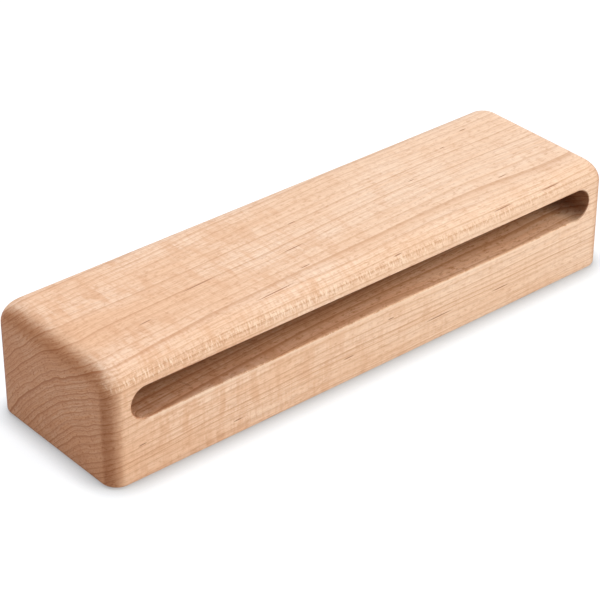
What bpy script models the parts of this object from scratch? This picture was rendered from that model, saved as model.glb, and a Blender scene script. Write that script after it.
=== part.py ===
"""One-piece maple wood block: a solid bar with one long resonance slot routed into its front face.

Metres, +Z up. The bar's length runs along X, its front face looks towards -Y, and the origin is
at the middle of the underside, so the block stands on Z = 0.
"""

import math

import bmesh
import bpy

# The bar, planed from two inch maple stock
LENGTH = 0.2300
WIDTH = 0.0662
HEIGHT = 0.0446

# The bar's rounded edges
CORNER_RADIUS = 0.0064  # the four upright edges
TOP_ROUNDOVER = 0.0088  # the edges round the top, where the stick may land
TOP_CORNER_RADIUS = 0.0040  # the same four corners where the flat top begins, drawn in by the sander
BOTTOM_EASE = 0.0015  # the edges round the underside
CORNER_SEGMENTS = 12
ROUNDOVER_SEGMENTS = 16
EASE_SEGMENTS = 5

# The resonance slot
PLATE_THICKNESS = 0.0082  # the plate that is struck, from the slot's roof to the top
CUTTER_DIAMETER = 0.0123  # the slot's height, one pass of a straight cutter
END_WALL = 0.0090  # wood left at each end of the slot
BACK_WALL = 0.0162  # wood left behind the slot
MOUTH_EASE = 0.0005  # the slot's mouth, sanded just enough to break the edge
CUTTER_TIP_RADIUS = 0.0008  # the cutter's worn corner, left along the slot's back wall
HALF_ROUND_SEGMENTS = 24
FILLET_SEGMENTS = 4

MAPLE = (0.80, 0.56, 0.38, 1.0)
MAPLE_ROUGHNESS = 0.48


def clear_scene():
    for obj in list(bpy.data.objects):
        bpy.data.objects.remove(obj, do_unlink=True)


def collection(name):
    made = bpy.data.collections.new(name)
    bpy.context.scene.collection.children.link(made)
    return made


def maple():
    material = bpy.data.materials.new("maple")
    material.use_nodes = True
    shader = material.node_tree.nodes["Principled BSDF"]
    shader.inputs["Base Color"].default_value = MAPLE
    shader.inputs["Roughness"].default_value = MAPLE_ROUGHNESS
    shader.inputs["Metallic"].default_value = 0.0
    material.diffuse_color = MAPLE
    return material


def quarter(segments):
    """The angles of a quarter round, from 0 to a right angle."""
    return [math.pi / 2 * step / segments for step in range(segments + 1)]


def loft(name, rings, into):
    """A closed solid through rings of equally many points, with its first and last ring filled."""
    solid = bmesh.new()
    loops = [[solid.verts.new(point) for point in ring] for ring in rings]
    for near, far in zip(loops, loops[1:]):
        for step, vertex in enumerate(near):
            after = (step + 1) % len(near)
            solid.faces.new((vertex, near[after], far[after], far[step]))
    solid.faces.new(loops[0])
    solid.faces.new(loops[-1])
    bmesh.ops.recalc_face_normals(solid, faces=solid.faces)
    mesh = bpy.data.meshes.new(name)
    solid.to_mesh(mesh)
    solid.free()
    made = bpy.data.objects.new(name, mesh)
    into.objects.link(made)
    return made


# The planed bar

def bar_section(inset, corner, height):
    """The bar's rounded outline at one height, drawn in by the inset on every side."""
    points = []
    for turn, (side_x, side_y) in enumerate(((1, 1), (-1, 1), (-1, -1), (1, -1))):
        centre_x = side_x * (LENGTH / 2 - inset - corner)
        centre_y = side_y * (WIDTH / 2 - inset - corner)
        for swing in quarter(CORNER_SEGMENTS):
            angle = math.pi / 2 * turn + swing
            points.append((centre_x + corner * math.cos(angle), centre_y + corner * math.sin(angle), height))
    return points


def planed_bar(into):
    """The bar from its underside up: the eased foot, the straight sides, then the top's roundover."""
    rings = []
    for angle in quarter(EASE_SEGMENTS):
        inset = BOTTOM_EASE * (1 - math.sin(angle))
        height = BOTTOM_EASE * (1 - math.cos(angle))
        rings.append(bar_section(inset, CORNER_RADIUS - inset, height))
    for angle in quarter(ROUNDOVER_SEGMENTS):
        share = 1 - math.cos(angle)
        corner = CORNER_RADIUS + (TOP_CORNER_RADIUS - CORNER_RADIUS) * share
        height = HEIGHT - TOP_ROUNDOVER * (1 - math.sin(angle))
        rings.append(bar_section(TOP_ROUNDOVER * share, corner, height))
    return loft("block_body", rings, into)


# The slot's cutter

def slot_section(radius, depth):
    """The slot's outline at one depth behind the front face: two straight runs and two half rounds."""
    run_end = LENGTH / 2 - END_WALL - CUTTER_DIAMETER / 2
    centre_z = HEIGHT - PLATE_THICKNESS - CUTTER_DIAMETER / 2
    points = []
    for side, start in ((1, -math.pi / 2), (-1, math.pi / 2)):
        for step in range(HALF_ROUND_SEGMENTS + 1):
            angle = start + math.pi * step / HALF_ROUND_SEGMENTS
            x = side * run_end + radius * math.cos(angle)
            points.append((x, depth - WIDTH / 2, centre_z + radius * math.sin(angle)))
    return points


def slot_cutter(into):
    """The space that the cutter clears, from outside the eased mouth to the filleted back wall."""
    radius = CUTTER_DIAMETER / 2
    back = WIDTH - BACK_WALL
    rings = [slot_section(radius + MOUTH_EASE, -TOP_ROUNDOVER)]
    for angle in quarter(FILLET_SEGMENTS):
        flare = MOUTH_EASE * (1 - math.sin(angle))
        rings.append(slot_section(radius + flare, MOUTH_EASE * (1 - math.cos(angle))))
    for angle in quarter(FILLET_SEGMENTS):
        shrink = CUTTER_TIP_RADIUS * (1 - math.cos(angle))
        rings.append(slot_section(radius - shrink, back - CUTTER_TIP_RADIUS * (1 - math.sin(angle))))
    cutter = loft("slot_cutter", rings, into)
    cutter.hide_render = True
    cutter.display_type = "WIRE"
    return cutter


def cut_slot(body, cutter):
    cut = body.modifiers.new("resonance_slot", "BOOLEAN")
    cut.operation = "DIFFERENCE"
    cut.solver = "EXACT"
    cut.object = cutter


def main():
    clear_scene()
    parts = collection("wood_block")
    cutters = collection("cutters")
    body = planed_bar(parts)
    cut_slot(body, slot_cutter(cutters))
    body.data.materials.append(maple())
    body.data.shade_smooth()
    body.data.set_sharp_from_angle(angle=math.radians(35))


main()
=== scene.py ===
"""A one-piece maple wood block with a routed resonance slot, on a white studio floor."""
import math

import bmesh
import bpy
import numpy as np
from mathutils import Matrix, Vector


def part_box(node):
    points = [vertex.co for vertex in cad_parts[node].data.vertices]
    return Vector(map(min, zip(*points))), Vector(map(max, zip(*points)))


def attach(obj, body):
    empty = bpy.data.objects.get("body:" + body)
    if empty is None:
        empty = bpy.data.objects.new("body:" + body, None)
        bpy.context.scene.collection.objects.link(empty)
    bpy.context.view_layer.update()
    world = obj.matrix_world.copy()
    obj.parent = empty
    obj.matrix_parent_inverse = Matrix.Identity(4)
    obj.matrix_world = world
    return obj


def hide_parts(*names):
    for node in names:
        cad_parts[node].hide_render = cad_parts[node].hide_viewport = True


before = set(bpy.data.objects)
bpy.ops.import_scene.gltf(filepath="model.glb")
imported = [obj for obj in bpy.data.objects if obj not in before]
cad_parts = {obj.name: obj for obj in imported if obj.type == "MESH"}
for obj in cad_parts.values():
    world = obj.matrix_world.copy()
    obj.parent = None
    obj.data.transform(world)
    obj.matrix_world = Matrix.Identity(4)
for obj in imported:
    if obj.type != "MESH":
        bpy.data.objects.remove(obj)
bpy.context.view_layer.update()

scene = bpy.context.scene

# The block: one bar of hard maple, planed square, its four upright corners and the edges round its
# top rounded over with a router and sanded, its foot only eased. One long blind slot is routed into
# the front face under the top, so that a thin plate is left above it, and the slot's mouth is sanded.
low, high = (np.array(corner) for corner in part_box("block_body"))
LENGTH, WIDTH, HEIGHT = high - low
CORNER_RADIUS = 0.0064
TOP_ROUNDOVER = 0.0088
TOP_CORNER_RADIUS = 0.0040
BOTTOM_EASE = 0.0015
PLATE_THICKNESS = 0.0082
SLOT_HEIGHT = 0.0123
END_WALL = 0.0090
BACK_WALL = 0.0162
MOUTH_EASE = 0.0005
CUTTER_TIP_RADIUS = 0.0008

radius = SLOT_HEIGHT / 2
run = LENGTH / 2 - END_WALL - radius
middle = HEIGHT - PLATE_THICKNESS - radius
slot_depth = WIDTH - BACK_WALL

# How finely the skin's grids are divided
CORNER_STEPS = 14
LENGTH_STEPS = 190
WIDTH_STEPS = 44
SIDE_STEPS = 28
ROUND_STEPS = 18
EASE_STEPS = 5
FACE_STEPS = 16
CAP_STEPS = 22
DEPTH_STEPS = 36
BACK_STEPS = 4


def bar_outline(inset, corner):
    """The bar's plan outline drawn in by the inset: quarter rounds of the corner radius about the four
    corner centres, joined by straight runs of evenly spaced points, anticlockwise from the front run."""
    half_x = LENGTH / 2 - inset - corner
    half_y = WIDTH / 2 - inset - corner
    along = np.linspace(-1, 1, LENGTH_STEPS + 1)
    across = np.linspace(-1, 1, WIDTH_STEPS + 1)
    swing = np.linspace(0, math.pi / 2, CORNER_STEPS + 1)[1:-1]
    runs = [
        (along * half_x, np.full_like(along, -half_y - corner)),
        (half_x + corner * np.sin(swing), -half_y - corner * np.cos(swing)),
        (np.full_like(across, half_x + corner), across * half_y),
        (half_x + corner * np.cos(swing), half_y + corner * np.sin(swing)),
        (-along * half_x, np.full_like(along, half_y + corner)),
        (-half_x - corner * np.sin(swing), half_y + corner * np.cos(swing)),
        (np.full_like(across, -half_x - corner), -across * half_y),
        (-half_x - corner * np.cos(swing), -half_y - corner * np.sin(swing)),
    ]
    return np.hstack([np.array(part) for part in runs])


def edge_inset(height):
    """How far the bar's side is drawn in at a height: a circle of the ease at the foot, nothing along
    the side, and a circle of the roundover at the top."""
    foot = np.clip(BOTTOM_EASE - height, 0, BOTTOM_EASE)
    top = np.clip(height - HEIGHT + TOP_ROUNDOVER, 0, TOP_ROUNDOVER)
    return (BOTTOM_EASE - np.sqrt(BOTTOM_EASE**2 - foot**2)
            + TOP_ROUNDOVER - np.sqrt(TOP_ROUNDOVER**2 - top**2))


def bar_ring(height):
    """One level ring of the bar: its outline, with the corners drawn in as the roundover rises."""
    inset = edge_inset(height)
    if height > HEIGHT / 2:
        corner = CORNER_RADIUS + (TOP_CORNER_RADIUS - CORNER_RADIUS) * inset / TOP_ROUNDOVER
    else:
        corner = CORNER_RADIUS - inset
    outline_x, outline_y = bar_outline(inset, corner)
    return np.stack([outline_x, outline_y, np.full_like(outline_x, height)], -1)


def slot_ring(ring_radius, ring_depth):
    """The slot's outline at a depth behind the front face: straight floor and roof, and two half
    rounds, in the order of the front face's border: floor, right end, roof, left end."""
    along = np.linspace(-run, run, LENGTH_STEPS + 1)
    swing = np.linspace(0, math.pi, SIDE_STEPS + 1)[1:-1]
    reach = ring_radius * np.sin(swing)
    ring_x = np.hstack([along, run + reach, -along, -run - reach])
    ring_z = middle + ring_radius * np.hstack([-np.ones_like(along), -np.cos(swing),
                                               np.ones_like(along), np.cos(swing)])
    return np.stack([ring_x, np.full_like(ring_x, ring_depth - WIDTH / 2), ring_z], -1)


def closing_rings(ring, spine_half, steps):
    """Rings that shrink from a closed ring to the middle line of the flat that it bounds: each point
    moves in a straight line to the nearest point of that line, which runs along X."""
    centre = (ring.min(0) + ring.max(0)) / 2
    spine = np.repeat(centre[None], len(ring), 0)
    spine[:, 0] = np.clip(ring[:, 0], -spine_half, spine_half)
    share = np.linspace(0, 1, steps + 1)[1:, None, None]
    return ring * (1 - share) + spine * share


def face_rings(inner, outer, steps):
    """Rings over the front face between the slot's mouth and the face's border: straight blends
    between the two in X and Z, laid on the bar's side with its roundover."""
    share = np.linspace(0, 1, steps + 1)[:, None, None]
    blend = inner * (1 - share) + outer * share
    blend[..., 1] = -WIDTH / 2 + edge_inset(blend[..., 2])
    return blend


def ring_squares(rows, columns, start):
    """Corner numbers of the squares between closed rings of points, numbered ring by ring."""
    row, column = np.meshgrid(np.arange(rows - 1), np.arange(columns), indexing="ij")
    after = (column + 1) % columns
    near, far = start + row * columns, start + (row + 1) * columns
    return np.stack([near + column, near + after, far + after, far + column], -1).reshape(-1, 4)


points, faces = [], []


def add_rings(rings, keep=None):
    """Adds the squares between rings to the block's skin, or only the squares that are kept."""
    start = sum(len(part) for part in points)
    squares = ring_squares(rings.shape[0], rings.shape[1], start)
    points.append(rings.reshape(-1, 3))
    faces.append(squares if keep is None else squares[keep.ravel()])


# The bar's sides from the foot to the top, open where the front face is, and its two flats
quarter = np.linspace(0, math.pi / 2, ROUND_STEPS + 1)
ease = np.linspace(0, math.pi / 2, EASE_STEPS + 1)
side_heights = np.linspace(BOTTOM_EASE, HEIGHT - TOP_ROUNDOVER, SIDE_STEPS - 3)
heights = np.hstack([
    BOTTOM_EASE * (1 - np.cos(ease[:-1])),
    side_heights[:-1],
    HEIGHT - TOP_ROUNDOVER + TOP_ROUNDOVER * np.sin(quarter),
])
heights[-1] = HEIGHT
bar_rings = np.array([bar_ring(height) for height in heights])
foot_row = EASE_STEPS
brow_row = foot_row + SIDE_STEPS
ring_row, ring_column = np.meshgrid(np.arange(len(bar_rings) - 1), np.arange(bar_rings.shape[1]),
                                    indexing="ij")
on_front = (ring_row >= foot_row) & (ring_row < brow_row) & (ring_column < LENGTH_STEPS)
add_rings(bar_rings, ~on_front)
flat_spine = (LENGTH - WIDTH) / 2
for edge_ring in (bar_rings[-1], bar_rings[0]):
    add_rings(np.concatenate([edge_ring[None], closing_rings(edge_ring, flat_spine, CAP_STEPS)]))

# The front face, from the slot's mouth to its border: foot, right side, brow, left side
front = np.arange(LENGTH_STEPS + 1)
border = np.vstack([
    bar_rings[foot_row, front],
    bar_rings[foot_row + 1:brow_row, LENGTH_STEPS],
    bar_rings[brow_row, front[::-1]],
    bar_rings[foot_row + 1:brow_row, 0][::-1],
])
front_face = face_rings(slot_ring(radius + MOUTH_EASE, 0), border, FACE_STEPS)
add_rings(front_face)

# The slot: its sanded mouth, its walls, the fillet of the cutter's worn tip, and its back wall
lip = np.array([slot_ring(radius + MOUTH_EASE * (1 - math.sin(angle)), MOUTH_EASE * (1 - math.cos(angle)))
                for angle in ease])
lip[0] = front_face[0]
wall_depths = np.linspace(MOUTH_EASE, slot_depth - CUTTER_TIP_RADIUS, DEPTH_STEPS + 1)
walls = np.array([slot_ring(radius, wall_depth) for wall_depth in wall_depths])
fillet = np.array([slot_ring(radius - CUTTER_TIP_RADIUS * (1 - math.cos(angle)),
                             slot_depth - CUTTER_TIP_RADIUS * (1 - math.sin(angle))) for angle in ease])
add_rings(np.concatenate([lip, walls[1:], fillet[1:], closing_rings(fillet[-1], run, BACK_STEPS)]))

MERGE_DISTANCE = 1e-6
THINNEST_EDGE = 1e-7
mesh = bpy.data.meshes.new("maple_block")
mesh.from_pydata(np.vstack(points), [], np.vstack(faces))
skin = bmesh.new()
skin.from_mesh(mesh)
bmesh.ops.remove_doubles(skin, verts=skin.verts, dist=MERGE_DISTANCE)
bmesh.ops.dissolve_degenerate(skin, edges=skin.edges, dist=THINNEST_EDGE)
bmesh.ops.recalc_face_normals(skin, faces=skin.faces)
skin.to_mesh(mesh)
skin.free()
mesh.shade_smooth()
block = bpy.data.objects.new("maple_block", mesh)
scene.collection.objects.link(block)


def per_point(quality):
    """Three numbers for each point of the skin: its normal, or its place."""
    values = np.zeros(len(mesh.vertices) * 3, np.float32)
    mesh.vertices.foreach_get(quality, values)
    return values.reshape(-1, 3)


def keep_on_points(name, values):
    """Stores one number for each point of the skin, under the name by which the maple reads it."""
    kept = mesh.attributes.new(name, "FLOAT", "POINT")
    kept.data.foreach_set("value", values.astype(np.float32))


def band(values, start, full, fading, gone):
    """A smooth hump: 0 up to the start, 1 from full to fading, and 0 again past gone."""
    rise = np.clip((values - start) / (full - start), 0, 1)
    fall = np.clip((gone - values) / (gone - fading), 0, 1)
    return rise * rise * (3 - 2 * rise) * fall * fall * (3 - 2 * fall)


# How squarely each point of the skin cuts across the fibres: 1 on the ends, 0 on the long faces
normals = per_point("normal")
slant = np.abs(normals[:, 0])
keep_on_points("end_cut", slant)

# Painted shade on the rounded edges next to an end face, where the lamps leave a dark gap between the lit
# faces:
# halfway round the upright corners, and low on the roundover that joins the top to the end
UPRIGHT_BAND = (0.04, 0.45, 0.96, 0.9995)
TOP_BAND = (0.45, 0.82, 0.90, 0.999)
TOP_SHARE = 0.6
SMALLEST = 1e-4
upwards = np.clip(normals[:, 2] / np.sqrt(np.clip(1 - slant**2, SMALLEST, 1)), 0, 1)
upright_band = band(slant, *UPRIGHT_BAND) * (1 - upwards)
top_band = band(slant, *TOP_BAND) * upwards * TOP_SHARE
keep_on_points("painted_edge_shade", np.maximum(upright_band, top_band))

# The band of the front roundover that faces half upwards, which carries a painted highlight broken into
# ray flecks
CROWN_RISE = 0.48
CROWN_HALF = 0.26
CROWN_FADE = 1.6
FORWARDS = -0.2
on_crown = np.clip(CROWN_FADE - CROWN_FADE * np.abs(normals[:, 2] - CROWN_RISE) / CROWN_HALF, 0, 1)
keep_on_points("crown_highlight", on_crown * (normals[:, 1] < FORWARDS) * (1 - slant))

# Which points lie in the slot, its sanded mouth with it
JUST_INSIDE = 0.99
TOUCH = 1e-6
places = per_point("co")
beyond_run = np.clip(np.abs(places[:, 0]) - run, 0, None)
off_axis = np.hypot(beyond_run, places[:, 2] - middle)
depth = places[:, 1] + WIDTH / 2
inside = (off_axis < radius + MOUTH_EASE * JUST_INSIDE) & (depth > TOUCH) & (depth < slot_depth + TOUCH)
keep_on_points("in_slot", inside)

# The front face just under the slot's mouth, which carries a thin painted highlight
LIP_WIDTH = 0.0011
LIP_FADE = 0.0009
below_mouth = np.clip((radius + MOUTH_EASE + LIP_WIDTH - off_axis) / LIP_FADE, 0, 1)
lowness = np.clip(2 * (middle - places[:, 2]) / radius - 1, 0, 1) * (np.abs(places[:, 0]) < run)
keep_on_points("lip_highlight", below_mouth * lowness * (np.abs(depth) < TOUCH))

maple = bpy.data.materials.new("maple")
maple.use_nodes = True
tree = maple.node_tree
shader = tree.nodes["Principled BSDF"]


def step(kind, *inputs, output=0, **settings):
    """Adds a node to the tree in hand with its settings, feeds its inputs in order from numbers or
    other nodes' sockets (None leaves one alone), and gives its output socket."""
    made = tree.nodes.new(kind)
    for name, value in settings.items():
        setattr(made, name, value)
    for socket, value in zip(made.inputs, inputs):
        if isinstance(value, bpy.types.NodeSocket):
            tree.links.new(value, socket)
        elif value is not None:
            socket.default_value = value
    return made.outputs[output]


def calc(operation, *inputs):
    return step("ShaderNodeMath", *inputs, operation=operation)


def vector(first, second, third):
    return step("ShaderNodeCombineXYZ", first, second, third)


def mix(share, first, second, blend_type="MIX"):
    """Mixes two colours by the share."""
    made = tree.nodes.new("ShaderNodeMix")
    made.data_type = "RGBA"
    made.blend_type = blend_type
    for socket, value in zip((made.inputs[0], made.inputs[6], made.inputs[7]), (share, first, second)):
        if isinstance(value, bpy.types.NodeSocket):
            tree.links.new(value, socket)
        else:
            socket.default_value = value
    return made.outputs[2]


def ramp(value, low_in, high_in, low_out=0.0, high_out=1.0, smooth=True):
    """Carries a value over from one range to another, and holds it at the ends."""
    return step("ShaderNodeMapRange", value, low_in, high_in, low_out, high_out,
                interpolation_type="SMOOTHSTEP" if smooth else "LINEAR")


def between(share, first, second):
    """The number that lies between the first and the second by the share."""
    return ramp(share, 0.0, 1.0, first, second, smooth=False)


# Noise runs from 0 to 1 about its middle, and each seed takes it from another place
NOISE_MIDDLE = 0.5
SEED_TURN = 1.7


def noise(axes, scales, detail, rough, seed):
    """Smooth noise over three axes, with so many waves to the unit of each, at the seed's place."""
    stretched = vector(*(calc("MULTIPLY", axis, scale) for axis, scale in zip(axes, scales)))
    shifted = step("ShaderNodeVectorMath", stretched, (seed, seed * SEED_TURN, -seed), operation="ADD")
    return step("ShaderNodeTexNoise", shifted, None, 1.0, detail, rough)


# All places and pattern sizes of the wood are in millimetres, X along the grain
MILLIMETRES = 1000.0
object_place = step("ShaderNodeTexCoord", output=3)
split = tree.nodes.new("ShaderNodeSeparateXYZ")
tree.links.new(step("ShaderNodeMapping", object_place, None, None, (MILLIMETRES,) * 3), split.inputs[0])
x, y, z = split.outputs
left_end = -LENGTH / 2 * MILLIMETRES
front_skin = -WIDTH / 2 * MILLIMETRES
top_skin = HEIGHT * MILLIMETRES

# Growth rings lie about the tree's pith, which ran in front of the block and below it. They lean away
# from it near the left end, sway and ripple along the grain, and are unevenly wide.
PITH_Y = -80.0
PITH_Z = -80.0
LEAN_REACH = 5.2
LEAN_LENGTH = 90.0
SWAY_REACH = 6.0
RIPPLE_REACH = 1.3
UNEVEN_SCALE = 0.07
UNEVEN_REACH = 6.0
sway = noise((x, y, z), (0.008, 0.03, 0.03), detail=2.0, rough=0.5, seed=3.1)
ripple = noise((x, y, z), (0.012, 0.11, 0.11), detail=1.0, rough=0.5, seed=7.7)
across = calc("SUBTRACT", y, PITH_Y)
above = calc("SUBTRACT", z, PITH_Z)
from_pith = calc("SQRT", calc("ADD", calc("MULTIPLY", across, across), calc("MULTIPLY", above, above)))
from_end = calc("DIVIDE", calc("SUBTRACT", left_end, x), LEAN_LENGTH)
lean = calc("MULTIPLY", calc("EXPONENT", from_end), LEAN_REACH)
radial = calc("ADD", from_pith, lean)
radial = calc("ADD", radial, calc("MULTIPLY", calc("SUBTRACT", sway, NOISE_MIDDLE), SWAY_REACH))
radial = calc("ADD", radial, calc("MULTIPLY", calc("SUBTRACT", ripple, NOISE_MIDDLE), RIPPLE_REACH))
uneven = step("ShaderNodeTexNoise", None, radial, UNEVEN_SCALE, 2.0, 0.5, noise_dimensions="1D")
radial = calc("ADD", radial, calc("MULTIPLY", uneven, UNEVEN_REACH))

# The years are counted outwards and crowd together. Each ends in a dark line of late wood, some
# stronger than others, and finer and fainter lines lie between them.
INNER_RADIUS = 93.0
INNER_RINGS = 0.40
RING_CROWDING = 0.0007
FINER_RINGS = 2.7
outwards = calc("SUBTRACT", radial, INNER_RADIUS)
crowding = calc("MULTIPLY", calc("MULTIPLY", outwards, outwards), RING_CROWDING)
years = calc("ADD", calc("MULTIPLY", radial, INNER_RINGS), crowding)


def late_wood(count, power, turning, faintest, strongest):
    """Dark lines at the end of each count: the part of the count that has passed, to a high power,
    cut off just before the next, and of a strength that is drawn for each count by itself."""
    passed = calc("FRACT", count)
    drawn = step("ShaderNodeTexWhiteNoise", None, calc("FLOOR", count), noise_dimensions="1D")
    line = calc("MULTIPLY", calc("POWER", passed, power), ramp(passed, 1.0, turning))
    return calc("MULTIPLY", line, between(drawn, faintest, strongest))


ring_line = late_wood(years, power=4.5, turning=0.93, faintest=0.45, strongest=1.3)
thin_line = late_wood(calc("MULTIPLY", years, FINER_RINGS), power=4.0, turning=0.90,
                      faintest=0.15, strongest=0.65)

# The wood's other figure: fine lines and grain along the rings, fibres and pores along the block,
# and across it curl, hatching and the flecks of the rays
ARC_LENGTH = 130.0
arc = calc("MULTIPLY", calc("ARCTAN2", above, across), ARC_LENGTH)
fine = noise((x, radial, arc), (0.02, 1.6, 0.10), detail=3.0, rough=0.6, seed=11.0)
grain = noise((x, radial, arc), (0.40, 1.6, 0.6), detail=3.0, rough=0.7, seed=31.0)
fibre = noise((x, y, z), (0.07, 2.2, 2.2), detail=3.0, rough=0.65, seed=5.0)
pores = noise((x, y, z), (0.35, 4.5, 4.5), detail=2.0, rough=0.5, seed=2.0)
cloud = noise((x, y, z), (0.02, 0.05, 0.05), detail=2.0, rough=0.5, seed=21.0)
curl = noise((x, y, z), (0.20, 0.06, 0.06), detail=3.0, rough=0.6, seed=9.0)
hatch = noise((x, y, z), (0.9, 0.16, 0.16), detail=2.0, rough=0.6, seed=17.0)
flecks = noise((x, y, z), (1.8, 0.40, 0.40), detail=2.0, rough=0.7, seed=13.0)

# Dark mineral streaks, each a thin lens along the grain at a place on the skin: on the top and on its
# front roundover by X, Y and half its length, on the front face by X, Z and half its length
TOP_STREAKS = [
    (-56.7, -5.2, 9.0), (-39.2, -25.6, 11.0), (-16.3, -7.2, 6.0), (-5.4, 6.7, 2.2),
    (-20.8, -19.3, 2.8), (48.2, 2.3, 2.0), (90.0, 19.2, 2.2), (74.2, 13.6, 1.6),
    (-84.6, -12.7, 3.4), (76.0, -16.8, 2.8),
]
ROUNDOVER_STREAKS = [(11.9, -30.7, 2.4), (63.1, -30.6, 5.6), (87.5, -30.6, 6.0)]
FRONT_STREAKS = [
    (-12.4, 10.4, 3.2), (30.6, 10.1, 8.2), (61.4, 10.0, 5.2),
    (7.1, 18.5, 2.0), (-102.2, 14.2, 2.2), (-62.2, 6.2, 2.6),
]
ROUNDOVER_SKIN = 42.1
STREAK_WIDTH = 0.28
ROUNDOVER_WIDTH = 0.182
STREAK_DEPTH = 4.0
STREAK_EDGE = 0.45
LEAN_ACROSS = 1.9
straight_y = calc("ADD", y, calc("MULTIPLY", lean, LEAN_ACROSS))
straight_z = calc("ADD", z, lean)


def lean_at(place_x):
    """The rings' lean at a place along the block: it dies away by e over each lean length."""
    return LEAN_REACH * math.exp((left_end - place_x) / LEAN_LENGTH)


def lens(middle_x, half_length, side, middle_side, width, inwards, skin_place):
    """1 in the middle of a thin lens and 0 at its skin: the distances from its middle along the
    grain, to the side and inwards, each over the lens's half size, taken together as one length."""
    from_x = calc("DIVIDE", calc("SUBTRACT", x, middle_x), half_length)
    from_side = calc("DIVIDE", calc("SUBTRACT", side, middle_side), width)
    from_skin = calc("DIVIDE", calc("SUBTRACT", inwards, skin_place), STREAK_DEPTH)
    away = step("ShaderNodeVectorMath", vector(from_x, from_side, from_skin),
                operation="LENGTH", output=1)
    return ramp(away, 1.0, STREAK_EDGE)


streaks = 0.0
for middle_x, middle_y, half_length in TOP_STREAKS:
    middle_side = middle_y + lean_at(middle_x) * LEAN_ACROSS
    streak = lens(middle_x, half_length, straight_y, middle_side, STREAK_WIDTH, z, top_skin)
    streaks = calc("MAXIMUM", streaks, streak)
for middle_x, middle_y, half_length in ROUNDOVER_STREAKS:
    middle_side = middle_y + lean_at(middle_x) * LEAN_ACROSS
    streak = lens(middle_x, half_length, straight_y, middle_side, ROUNDOVER_WIDTH, z, ROUNDOVER_SKIN)
    streaks = calc("MAXIMUM", streaks, streak)
for middle_x, middle_z, half_length in FRONT_STREAKS:
    middle_side = middle_z + lean_at(middle_x)
    streak = lens(middle_x, half_length, straight_z, middle_side, STREAK_WIDTH, y, front_skin)
    streaks = calc("MAXIMUM", streaks, streak)

# A short dark mark that the cutter left on the slot's floor near its left end
MARK_X = -78.8
MARK_Y = -25.0
MARK_SKEW = 0.30
MARK_HALF = 4.4
MARK_WIDTH = 0.40
MARK_EDGE = 0.5
from_mark = calc("SUBTRACT", y, MARK_Y)
skewed = calc("ADD", calc("SUBTRACT", x, MARK_X), calc("MULTIPLY", from_mark, MARK_SKEW))
mark_place = vector(calc("DIVIDE", skewed, MARK_WIDTH), calc("DIVIDE", from_mark, MARK_HALF), 0.0)
mark = ramp(step("ShaderNodeVectorMath", mark_place, operation="LENGTH", output=1), 1.0, MARK_EDGE)

# The maple's colours: pale and warm sapwood, late wood, curl, and a pale colour for painted highlights
PALE = (0.885, 0.655, 0.490, 1.0)
WARM = (0.805, 0.515, 0.335, 1.0)
EVEN = (0.857, 0.605, 0.435, 1.0)
LATE = (0.52, 0.25, 0.125, 1.0)
MINERAL = (0.36, 0.16, 0.085, 1.0)
CURL = (0.72, 0.43, 0.265, 1.0)
HIGHLIGHT_FLECK = (0.89, 0.67, 0.50, 1.0)

# Tints that multiply them: from the darker left end to the right, on end grain, painted shade on the
# rounded edges, and in the slot darker raw wood under painted shade and painted light
TONE_LEFT = (1.0, 0.97, 0.95, 1.0)
TONE_RIGHT = (1.012, 1.058, 1.095, 1.0)
END_TINT = (0.605, 0.460, 0.350, 1.0)
EDGE_SHADE_TINT = (0.78, 0.69, 0.62, 1.0)
SLOT_SHADE_LEFT = (0.88, 0.80, 0.76, 1.0)
SLOT_LIGHT_RIGHT = (1.10, 1.06, 1.02, 1.0)
SLOT_DEEP_SHADE = (0.65, 0.58, 0.51, 1.0)
SLOT_END_SHADE = (0.52, 0.45, 0.41, 1.0)


def read_points(name):
    """A number that is stored on the skin's points."""
    return step("ShaderNodeAttribute", attribute_name=name, output=2)


def laid(colour, ink, pattern, faint, full, share):
    """The colour with an ink laid over it where a pattern rises from faint to full."""
    return mix(calc("MULTIPLY", ramp(pattern, faint, full), share), colour, ink)


def tinted(colour, tint, share):
    """The colour multiplied by a tint where the share is 1."""
    return mix(share, colour, mix(1.0, colour, tint, "MULTIPLY"))


# The figure is curly at the left and calm at the right, and strongest on raw end grain and slot
CURLY_TO = -60.0
CALM_FROM = 60.0
TONE_FROM = -110.0
TONE_TO = 30.0
END_GRAIN_FROM = 0.3
END_GRAIN_FULL = 0.9
FACE_BEGINS = -28.0
FACE_FULL = -33.0
calm = ramp(x, CURLY_TO, CALM_FROM)
end_grain = ramp(read_points("end_cut"), END_GRAIN_FROM, END_GRAIN_FULL)
hollow = read_points("in_slot")
raw = ramp(calc("MAXIMUM", end_grain, hollow), 0.0, 1.0)
facing = ramp(y, FACE_BEGINS, FACE_FULL)
ring_share = calc("MAXIMUM", between(raw, 0.62, 1.3), between(facing, 0.70, 0.95))

colour = mix(ramp(cloud, 0.3, 0.7), WARM, PALE)
colour = mix(between(calm, 0.0, 0.60), colour, EVEN)
colour = laid(colour, CURL, curl, faint=0.48, full=0.66, share=between(calm, 0.75, 0.30))
colour = laid(colour, CURL, hatch, faint=0.46, full=0.66, share=between(calm, 0.46, 0.22))
colour = laid(colour, WARM, fine, faint=0.42, full=0.66, share=between(raw, 0.60, 1.0))
colour = laid(colour, LATE, fibre, faint=0.46, full=0.74, share=0.34)
colour = laid(colour, LATE, grain, faint=0.48, full=0.72, share=between(raw, 0.48, 0.95))
colour = mix(calc("MULTIPLY", ring_line, ring_share), colour, LATE)
colour = mix(calc("MULTIPLY", thin_line, ring_share), colour, LATE)
colour = laid(colour, LATE, pores, faint=0.62, full=0.78, share=between(hollow, 0.30, 0.08))
tone = mix(ramp(x, TONE_FROM, TONE_TO, smooth=False), TONE_LEFT, TONE_RIGHT)
colour = mix(1.0, colour, tone, "MULTIPLY")
colour = mix(streaks, colour, MINERAL)
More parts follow.
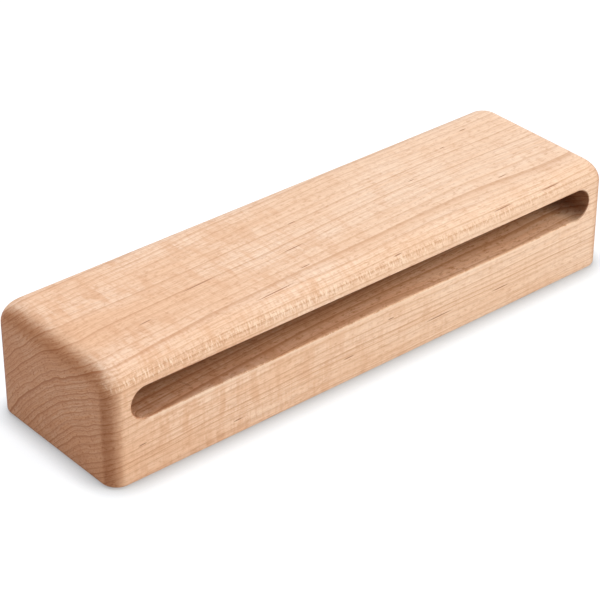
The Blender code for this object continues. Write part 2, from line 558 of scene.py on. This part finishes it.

# End grain is darker. Painted shade darkens the rounded edges, and the slot inwards, at its left and on
# its right end wall, with painted light towards its right
DARK_TO = -105.0
LIGHT_FROM = 20.0
DEEP_FROM = 3.0
DEEP_FULL = 16.0
SLOT_END_FROM = 95.0
SLOT_END_FULL = 103.0
SLOT_END_SHARE = 0.75
MARK_SHARE = 0.5
colour = tinted(colour, END_TINT, end_grain)
colour = tinted(colour, EDGE_SHADE_TINT, read_points("painted_edge_shade"))
inwards = calc("SUBTRACT", y, front_skin)
slot_shade = mix(ramp(x, DARK_TO, LIGHT_FROM, smooth=False), SLOT_SHADE_LEFT, SLOT_LIGHT_RIGHT)
slot_shade = mix(ramp(inwards, DEEP_FROM, DEEP_FULL, smooth=False), slot_shade, SLOT_DEEP_SHADE)
slot_end_shade = ramp(x, SLOT_END_FROM, SLOT_END_FULL, 0.0, SLOT_END_SHARE)
slot_shade = mix(slot_end_shade, slot_shade, SLOT_END_SHADE)
colour = tinted(colour, slot_shade, hollow)
colour = mix(calc("MULTIPLY", calc("MULTIPLY", mark, hollow), MARK_SHARE), colour, MINERAL)

# Painted highlights: a thin one on the mouth's lower lip, and on the front roundover one broken into the
# rays' short flecks
LIP_SHARE = 0.7
BROW_FADES_FROM = 0.0
BROW_FADED = 110.0
BROW_LEAST = 0.50
DARK_FLECKS = 0.50
colour = mix(calc("MULTIPLY", read_points("lip_highlight"), LIP_SHARE), colour, HIGHLIGHT_FLECK)
brow_highlight_share = ramp(x, BROW_FADES_FROM, BROW_FADED, 1.0, BROW_LEAST)
brow_highlight = calc("MULTIPLY", read_points("crown_highlight"), brow_highlight_share)
colour = laid(colour, HIGHLIGHT_FLECK, flecks, faint=0.50, full=0.70, share=brow_highlight)
colour = mix(calc("MULTIPLY", brow_highlight, ramp(flecks, 0.46, 0.32, 0.0, DARK_FLECKS)), colour, LATE)
tree.links.new(colour, shader.inputs["Base Color"])

# A thin satin coat: little gloss, and the fibres and pores can just be felt through it
COAT_GLOSS = 0.16
SMOOTHEST = 0.50
ROUGHEST = 0.60
RELIEF_STRENGTH = 0.35
RELIEF_HEIGHT = 0.00008
FIBRE_RELIEF = 0.5
PORE_RELIEF = -0.5
shader.inputs["Specular IOR Level"].default_value = COAT_GLOSS
tree.links.new(ramp(fine, 0.3, 0.8, SMOOTHEST, ROUGHEST, smooth=False), shader.inputs["Roughness"])
relief = calc("ADD", calc("MULTIPLY", fibre, FIBRE_RELIEF), calc("MULTIPLY", pores, PORE_RELIEF))
bump = tree.nodes.new("ShaderNodeBump")
bump.inputs["Strength"].default_value = RELIEF_STRENGTH
bump.inputs["Distance"].default_value = RELIEF_HEIGHT
tree.links.new(relief, bump.inputs["Height"])
tree.links.new(bump.outputs[0], shader.inputs["Normal"])

mesh.materials.append(maple)
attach(block, "root")
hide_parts("block_body")

# The studio floor: a wide sheet of white paper that keeps the block's shadow. The camera sees most of
# it as a plain white glow, which dims only close to the block, where the block hides the sky.
FLOOR_HALF = 3.0
FLOOR_HEIGHT = -0.0001
PAPER = (0.90, 0.94, 0.98, 1.0)
WHITE = (1.0, 1.0, 1.0, 1.0)
CONTACT_REACH = 0.0095
GLOW_SHARE = 0.6
MOST_HIDDEN = 0.5
OPEN = 0.95
GLOW_NEAR = 0.53
GLOW_FAR = 1.2
floor_mesh = bpy.data.meshes.new("studio_floor")
floor_corners = [(side_x * FLOOR_HALF, side_y * FLOOR_HALF, FLOOR_HEIGHT)
                 for side_x, side_y in ((-1, -1), (1, -1), (1, 1), (-1, 1))]
floor_mesh.from_pydata(floor_corners, [], [(0, 1, 2, 3)])
floor = bpy.data.objects.new("studio_floor", floor_mesh)
scene.collection.objects.link(floor)
paper = bpy.data.materials.new("white_paper")
paper.use_nodes = True
tree = paper.node_tree
tree.nodes.clear()


def rays_that_show_white():
    """1 for the camera's own rays and for those that gloss or glass sends on, 0 for the light's."""
    path = tree.nodes.new("ShaderNodeLightPath").outputs
    passed_on = calc("MAXIMUM", path["Is Glossy Ray"], path["Is Transmission Ray"])
    return calc("MAXIMUM", path["Is Camera Ray"], passed_on)


matte = step("ShaderNodeBsdfDiffuse", PAPER)
open_sky = step("ShaderNodeAmbientOcclusion", None, CONTACT_REACH, output=1)
brightness = ramp(open_sky, MOST_HIDDEN, OPEN, GLOW_NEAR, GLOW_FAR, smooth=False)
glow = step("ShaderNodeEmission", WHITE, brightness)
both = step("ShaderNodeMixShader", calc("MULTIPLY", rays_that_show_white(), GLOW_SHARE), matte, glow)
surface = tree.nodes.new("ShaderNodeOutputMaterial")
tree.links.new(both, surface.inputs["Surface"])
floor_mesh.materials.append(paper)

# The studio's air: a soft cool light from all round, which the camera sees as plain white
SKY = (0.92, 0.96, 1.0, 1.0)
SKY_STRENGTH = 0.42
world = bpy.data.worlds.new("studio")
scene.world = world
world.use_nodes = True
tree = world.node_tree
tree.nodes.clear()
soft = step("ShaderNodeBackground", SKY, SKY_STRENGTH)
white = step("ShaderNodeBackground", WHITE, 1.0)
sky = step("ShaderNodeMixShader", rays_that_show_white(), soft, white)
surface = tree.nodes.new("ShaderNodeOutputWorld")
tree.links.new(sky, surface.inputs["Surface"])


# Three wide soft lamps: a cool one high up and behind, a warm one low in front at the right, and a
# weak one at the left for the end face
def softbox(name, place, size, power, colour):
    """A square soft lamp at a place, turned to face the block."""
    lamp = bpy.data.lights.new(name, "AREA")
    lamp.size = size
    lamp.energy = power
    lamp.color = colour
    made = bpy.data.objects.new(name, lamp)
    made.location = place
    made.rotation_euler = (-Vector(place)).to_track_quat("-Z", "Y").to_euler()
    scene.collection.objects.link(made)


softbox("overhead", place=(0.1, 0.3, 1.4), size=1.2, power=13.2, colour=(0.96, 1.01, 1.085))
softbox("front_fill", place=(0.7, -1.1, 0.7), size=0.9, power=11.5, colour=(1.0, 0.925, 0.80))
softbox("left_fill", place=(-1.2, 0.1, 0.5), size=0.9, power=2.6, colour=(1.0, 0.97, 0.95))

# The camera stands in front of the block's left end and a little above it, as in the photograph
CAMERA_AZIMUTH = math.radians(-40.07)
CAMERA_ELEVATION = math.radians(31.87)
CAMERA_DISTANCE = 0.8322
CAMERA_AIM = Vector((-0.0070, 0.0, 0.01615))
CAMERA_LENS = 138.9
CAMERA_SENSOR = 36.0
back = Vector((math.sin(CAMERA_AZIMUTH) * math.cos(CAMERA_ELEVATION),
               -math.cos(CAMERA_AZIMUTH) * math.cos(CAMERA_ELEVATION),
               math.sin(CAMERA_ELEVATION)))
camera_data = bpy.data.cameras.new("camera")
camera_data.lens = CAMERA_LENS
camera_data.sensor_width = CAMERA_SENSOR
camera = bpy.data.objects.new("camera", camera_data)
camera.location = CAMERA_AIM + back * CAMERA_DISTANCE
camera.rotation_euler = back.to_track_quat("Z", "Y").to_euler()
scene.collection.objects.link(camera)
scene.camera = camera
scene.view_settings.view_transform = "Standard"
